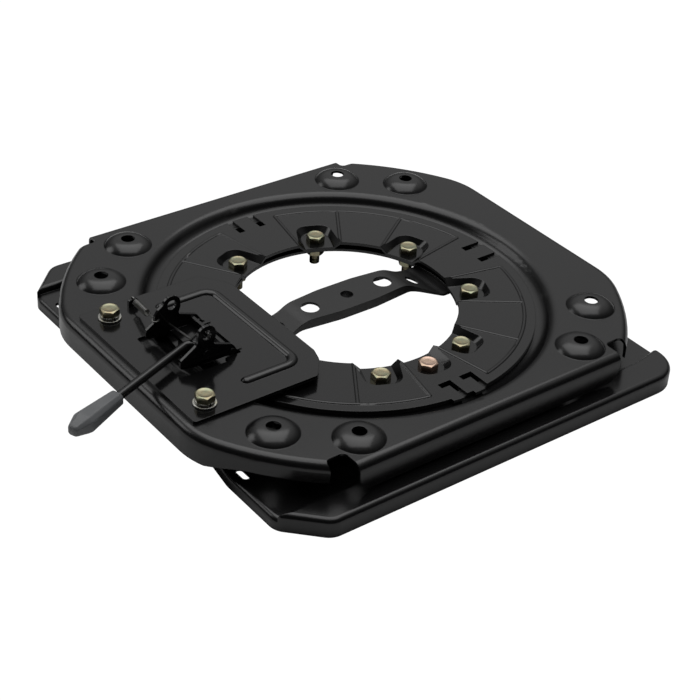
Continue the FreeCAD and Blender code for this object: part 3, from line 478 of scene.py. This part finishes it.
class SeatBaseFinishes(bpy.types.PropertyGroup):
    black: bpy.props.FloatVectorProperty(
        name="Black coat", description="Colour of the satin coat on the plates",
        subtype="COLOR", size=3, default=(0.005, 0.005, 0.0052))
    ring_black: bpy.props.FloatVectorProperty(
        name="Ring coat", description="Colour of the coat on the ring and the strap",
        subtype="COLOR", size=3, default=(0.005, 0.005, 0.0051))
    yellow_zinc: bpy.props.FloatVectorProperty(
        name="Yellow zinc", description="Main colour of the passivated bolts",
        subtype="COLOR", size=3, default=(0.34, 0.32, 0.22))
    copper_zinc: bpy.props.FloatVectorProperty(
        name="Copper zinc", description="Main colour of the stop bolt",
        subtype="COLOR", size=3, default=(0.56, 0.40, 0.31))
    bright_zinc: bpy.props.FloatVectorProperty(
        name="Bright zinc", description="Main colour of the washers",
        subtype="COLOR", size=3, default=(0.42, 0.42, 0.40))
    slate: bpy.props.FloatVectorProperty(
        name="Slate plastic", description="Colour of the grip",
        subtype="COLOR", size=3, default=(0.12, 0.125, 0.13))


def sizes():
    return bpy.context.scene.seat_base_sizes


def finishes():
    return bpy.context.scene.seat_base_finishes


# Pieces

class SEATBASE_OT_coats(bpy.types.Operator):
    """Finish the pressed steel plates, the ring, the latch and the glide rings"""
    bl_idname = "seatbase.coats"
    bl_label = "Coat the Plates"

    def execute(self, context):
        black, ring_black = finishes().black, finishes().ring_black
        dress(["upper_plate", "lower_plate"], coated_steel(
            "black_satin_coat", black, roughness=0.22, peel=0.02 * MM, edge=0.9 * MM))
        dress(["retaining_ring"], coated_steel(
            "black_gloss_coat", ring_black, roughness=0.16, peel=0.015 * MM, edge=0.8 * MM))
        dress(["cross_strap"], coated_steel(
            "black_strap_coat", ring_black, roughness=0.40, peel=0.03 * MM, edge=0.7 * MM))
        dress(["latch_plate", "latch_pawl", "lever_rod"], coated_steel(
            "black_latch_coat", black, roughness=0.14, peel=0.015 * MM, edge=0.6 * MM))
        dress(["lower_glide_ring", "upper_glide_ring"], moulded_plastic(
            "black_glide_plastic", grey(0.012), grey(0.02), roughness=0.45,
            grain_scale=1500.0, edge=0.3 * MM))
        dress(["hinge_pin", "pin_clip"], plated_steel(
            "dark_pin_steel", grey(0.05), (0.08, 0.08, 0.078), (0.06, 0.06, 0.058),
            roughness=0.28, edge=0.3 * MM))
        dress(["ear_wire"], plated_steel(
            "dark_spring_wire", grey(0.12), (0.18, 0.18, 0.175), (0.14, 0.138, 0.135),
            roughness=0.25, edge=0.2 * MM))
        return {"FINISHED"}


class SEATBASE_OT_fasteners(bpy.types.Operator):
    """Build the bolts and nuts of the ring and of the latch plate"""
    bl_idname = "seatbase.fasteners"
    bl_label = "Build Bolts and Nuts"

    def execute(self, context):
        yellow = (plated_steel("yellow_zinc", finishes().yellow_zinc, (0.30, 0.33, 0.22),
                               (0.38, 0.31, 0.19), roughness=0.22, edge=0.3 * MM), "yellow_zinc")
        copper = (plated_steel("copper_zinc", finishes().copper_zinc, (0.60, 0.43, 0.35),
                               (0.50, 0.38, 0.27), roughness=0.24, edge=0.3 * MM), "copper_zinc")
        circle = sizes().bolt_circle
        ring = [(circle * math.cos(a), circle * math.sin(a))
                for a in np.radians(22.5 + 45.0 * np.arange(8))]
        stop = [(0.0, -circle)]
        latch = LATCH_BOLT_PLACES
        each = np.arange(8)
        self.bolts("ring_bolts", ring, 17.0 * each, yellow, "base")
        self.bolts("stop_bolt", stop, [8.0], copper, "base")
        self.bolts("latch_bolts", latch, [11.0, 20.0], yellow, "swivel")
        self.nuts("ring_nuts", ring, 23.0 * each, yellow, "base")
        self.nuts("stop_nut", stop, [41.0], copper, "base")
        self.nuts("latch_nuts", latch, [0.0, 30.0], yellow, "swivel")
        return {"FINISHED"}

    def bolts(self, node, places, turns, finish, body):
        """Bolts at the places, each head turned about its axis by its own angle in degrees."""
        low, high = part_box(node)
        apothem, height = sizes().bolt_flats / 2, sizes().head_height
        seat = high.z - height
        parts = []
        for place, turn in zip(places, turns):
            for rows in (head_rows(apothem, height, turn), shank_rows(seat - low.z)):
                parts.append(skin(rows + (*place, seat)))
        piece(node + "_forged", parts, finish[0], body, node)

    def nuts(self, node, places, turns, finish, body):
        low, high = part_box(node)
        apothem, height = sizes().bolt_flats / 2, high.z - low.z
        parts = [skin(nut_rows(apothem, height, turn) + (*place, low.z), closed_along=True)
                 for place, turn in zip(places, turns)]
        piece(node + "_forged", parts, finish[0], body, node)


class SEATBASE_OT_washers(bpy.types.Operator):
    """Build the plain and spring washers under the latch bolts"""
    bl_idname = "seatbase.washers"
    bl_label = "Build Washers"

    def execute(self, context):
        zinc = plated_steel("washer_zinc", finishes().bright_zinc, (0.46, 0.44, 0.34),
                            (0.38, 0.38, 0.36), roughness=0.20, edge=0.2 * MM)
        low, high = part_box("plain_washers")
        split_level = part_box("spring_washers")[0].z + SPLIT_WASHER_RISE / 2
        flat = washer_rows(WASHER_BORE, WASHER_OUTER, high.z - low.z, WASHER_SOFT_EDGE)
        sprung = split_washer_rows(WASHER_BORE, SPLIT_WASHER_OUTER, SPLIT_WASHER_THICKNESS,
                                   SPLIT_WASHER_GAP, SPLIT_WASHER_RISE)
        plain = [skin(flat + (*place, low.z), closed_along=True) for place in LATCH_BOLT_PLACES]
        split = [skin(sprung + (*place, split_level)) for place in LATCH_BOLT_PLACES]
        piece("plain_washers_turned", plain, zinc, "swivel", "plain_washers")
        piece("spring_washers_split", split, zinc, "swivel", "spring_washers")
        return {"FINISHED"}


class SEATBASE_OT_return_spring(bpy.types.Operator):
    """Build the coiled return spring with its two hooked ends"""
    bl_idname = "seatbase.return_spring"
    bl_label = "Build Return Spring"

    def execute(self, context):
        s = sizes()
        finish = plated_steel("grey_spring_wire", (0.22, 0.22, 0.215), (0.30, 0.30, 0.28),
                              (0.17, 0.17, 0.165), roughness=0.22, edge=0.1 * MM)
        r, start, end = s.coil_radius, np.array(TAB_EYE), np.array(ARM_EYE)
        x_axis, z_axis = np.array([1.0, 0.0, 0.0]), np.array([0.0, 0.0, 1.0])
        along = unit(end - start)
        side = unit(x_axis - along * along[0])
        up = np.cross(along, side)
        share = np.linspace(0, 1, s.coil_turns * 28)[:, None]
        angle = share * s.coil_turns * TURN
        coil = (start + along * (SPRING_LEAD + share * COIL_LENGTH)
                + r * (np.cos(angle) * side + np.sin(angle) * up))
        sweep = np.linspace(0, EYE_SHARE * TURN, 40)[:, None]
        ahead = unit(along - x_axis * along[0])
        first = start + r * (np.cos(sweep) * ahead + np.sin(sweep) * np.cross(ahead, x_axis))
        level = unit(along - z_axis * along[2])
        last = end + r * (np.sin(sweep) * np.cross(level, z_axis) - np.cos(sweep) * level)
        lead_in = smooth_path(
            [first[0], start + along * SPRING_LEAD * 0.6 + side * r * 0.3, coil[2]], 14)
        lead_out = smooth_path(
            [coil[-1], coil[-1] * 0.75 + last[0] * 0.25 - side * r * 0.6,
             coil[-1] * 0.4 + last[0] * 0.6 - side * r * 0.2, last[0]], 18)
        paths = np.vstack([coil, lead_out[1:], last[1:]]), first[::-1], lead_in
        parts = [skin(tube_rows(path, s.wire_radius)) for path in paths]
        piece("return_spring_wound", parts, finish, "swivel", "return_spring",
              crease=60.0)
        return {"FINISHED"}


class SEATBASE_OT_grip(bpy.types.Operator):
    """Build the moulded grip on the end of the lever"""
    bl_idname = "seatbase.grip"
    bl_label = "Build Grip"

    def execute(self, context):
        finish = moulded_plastic("slate_grip_plastic", finishes().slate, (0.135, 0.14, 0.145),
                                 roughness=0.42, grain_scale=1800.0, edge=0.6 * MM)
        away = np.array([-math.cos(ROD_SPLAY), -math.sin(ROD_SPLAY), 0.0])
        side = np.cross(away, [0, 0, 1.0])
        up = np.cross(side, away)
        start = np.array(ROD_BEND) + away * GRIP_FROM_BEND
        share, half_wide, half_high = np.array(GRIP_PROFILE).T[:, :, None]
        angle = around(64)
        facet = soft_polygon(angle, np.array([1.0, 1.10] * 4), 0.0, 40)
        across = half_wide * MM * facet * np.cos(angle)
        high = half_high * MM * facet * np.sin(angle)
        rows = (start + (share * sizes().grip_length)[..., None] * away
                + across[..., None] * side + high[..., None] * up)
        piece("lever_grip_moulded", [skin(rows)], finish, "lever", "lever_grip",
              crease=50.0)
        return {"FINISHED"}


class SEATBASE_OT_stage(bpy.types.Operator):
    """Set the white backdrop, the floor that lights the underside, the lights and the camera"""
    bl_idname = "seatbase.stage"
    bl_label = "Set the Stage"

    def execute(self, context):
        self.floor()
        self.backdrop()
        self.sky()
        self.lamp("overhead", place=(0.3, 0.5, 2.4), width=2.6, power=30.0)
        self.lamp("back_left", place=(-1.6, 2.0, 1.5), width=1.2, power=8.0)
        self.camera()
        return {"FINISHED"}

    def ground(self, name, level, finish):
        reach = GROUND_REACH
        mesh = bpy.data.meshes.new(name)
        mesh.from_pydata([(x * reach, y * reach, level)
                          for x, y in ((-1, -1), (1, -1), (1, 1), (-1, 1))], [], [(0, 1, 2, 3)])
        mesh.materials.append(finish)
        made = bpy.data.objects.new(name, mesh)
        bpy.context.scene.collection.objects.link(made)
        return made

    def floor(self):
        """The floor that light bounces off. The camera doesn't see it."""
        made, net = material("pale_floor")
        tone = net.noise(net.place(), scale=3.0)
        net.surface(**{"Base Color": net.blend(tone, rgba(grey(0.72)), rgba(grey(0.78))),
                       "Roughness": 0.9, "Specular IOR Level": 0.0})
        self.ground("floor", FLOOR_LEVEL, made).visible_camera = False

    def backdrop(self):
        """White to the camera only, so that the picture has no shadows round the base."""
        made, net = material("white_backdrop")
        net.surface(**{"Base Color": rgba(grey(0)), "Specular IOR Level": 0.0,
                       "Emission Color": rgba(grey(1)), "Emission Strength": 1.05})
        sheet = self.ground("backdrop", BACKDROP_LEVEL, made)
        for ray in ("diffuse", "glossy", "transmission", "shadow"):
            setattr(sheet, "visible_" + ray, False)

    def sky(self):
        """A sky that brightens towards one side, high up behind the base."""
        world = bpy.data.worlds.new("soft_studio")
        bpy.context.scene.world = world
        world.use_nodes = True
        net = Net(world.node_tree)
        direction = net.node("ShaderNodeTexCoord", output=0)
        facing = net.node("ShaderNodeVectorMath", {"operation": "DOT_PRODUCT"}, output=1,
                          **{"0": direction, "1": SKY_BRIGHT_SIDE})
        stops = [(place, grey(level)) for place, level in SKY_STOPS]
        glow = net.node("ShaderNodeValToRGB", {"stops": stops}, **{"0": facing})
        light = net.node("ShaderNodeBackground", Color=glow, Strength=1.0)
        net.node("ShaderNodeOutputWorld", Surface=light)

    def lamp(self, name, place, width, power):
        """A square light aimed at the swivel axis."""
        data = bpy.data.lights.new(name, "AREA")
        data.shape, data.size, data.energy = "SQUARE", width, power
        made = bpy.data.objects.new(name, data)
        made.location = place
        made.rotation_euler = (-Vector(place)).to_track_quat("-Z", "Y").to_euler()
        bpy.context.scene.collection.objects.link(made)

    def camera(self):
        """The photograph's camera, worked out from the base's own edges and circles."""
        sin_a, cos_a = math.sin(CAMERA_AZIMUTH), math.cos(CAMERA_AZIMUTH)
        sin_e, cos_e = math.sin(CAMERA_ELEVATION), math.cos(CAMERA_ELEVATION)
        sin_r, cos_r = math.sin(CAMERA_ROLL), math.cos(CAMERA_ROLL)
        back = Vector((sin_a * cos_e, -cos_a * cos_e, sin_e))
        level = Vector((cos_a, sin_a, 0))
        rise = back.cross(level)
        right = level * cos_r + rise * sin_r
        up = rise * cos_r - level * sin_r
        place = (back * CAMERA_DISTANCE + right * CAMERA_RIGHT - up * CAMERA_DOWN
                 + Vector(CAMERA_AIM))
        turn = Matrix((right, up, back)).transposed()
        data = bpy.data.cameras.new("photo_camera")
        data.lens, data.sensor_width = 87.9, 36.0
        data.clip_start, data.clip_end = 0.01, 50.0
        camera = bpy.data.objects.new("photo_camera", data)
        camera.matrix_world = Matrix.Translation(place) @ turn.to_4x4()
        bpy.context.scene.collection.objects.link(camera)
        bpy.context.scene.camera = camera
        bpy.context.scene.view_settings.view_transform = "Standard"


class SEATBASE_PT_panel(bpy.types.Panel):
    """The seat base's sizes, finishes and build steps"""
    bl_idname = "SEATBASE_PT_panel"
    bl_label = "Swivel Seat Base"
    bl_space_type = "VIEW_3D"
    bl_region_type = "UI"
    bl_category = "Seat Base"

    def draw(self, context):
        for group in (sizes(), finishes()):
            box = self.layout.box()
            for key in group.__annotations__:
                box.prop(group, key)
        for step in STEPS:
            self.layout.operator(step.bl_idname)


STEPS = (SEATBASE_OT_coats, SEATBASE_OT_fasteners, SEATBASE_OT_washers,
         SEATBASE_OT_return_spring, SEATBASE_OT_grip, SEATBASE_OT_stage)
CLASSES = (SeatBaseSizes, SeatBaseFinishes, *STEPS, SEATBASE_PT_panel)


def register():
    for cls in CLASSES:
        bpy.utils.register_class(cls)
    bpy.types.Scene.seat_base_sizes = bpy.props.PointerProperty(type=SeatBaseSizes)
    bpy.types.Scene.seat_base_finishes = bpy.props.PointerProperty(type=SeatBaseFinishes)


def unregister():
    del bpy.types.Scene.seat_base_finishes
    del bpy.types.Scene.seat_base_sizes
    for cls in reversed(CLASSES):
        bpy.utils.unregister_class(cls)


def main():
    register()
    bpy.ops.seatbase.coats()
    bpy.ops.seatbase.fasteners()
    bpy.ops.seatbase.washers()
    bpy.ops.seatbase.return_spring()
    bpy.ops.seatbase.grip()
    bpy.ops.seatbase.stage()


if __name__ == "__main__":
    main()
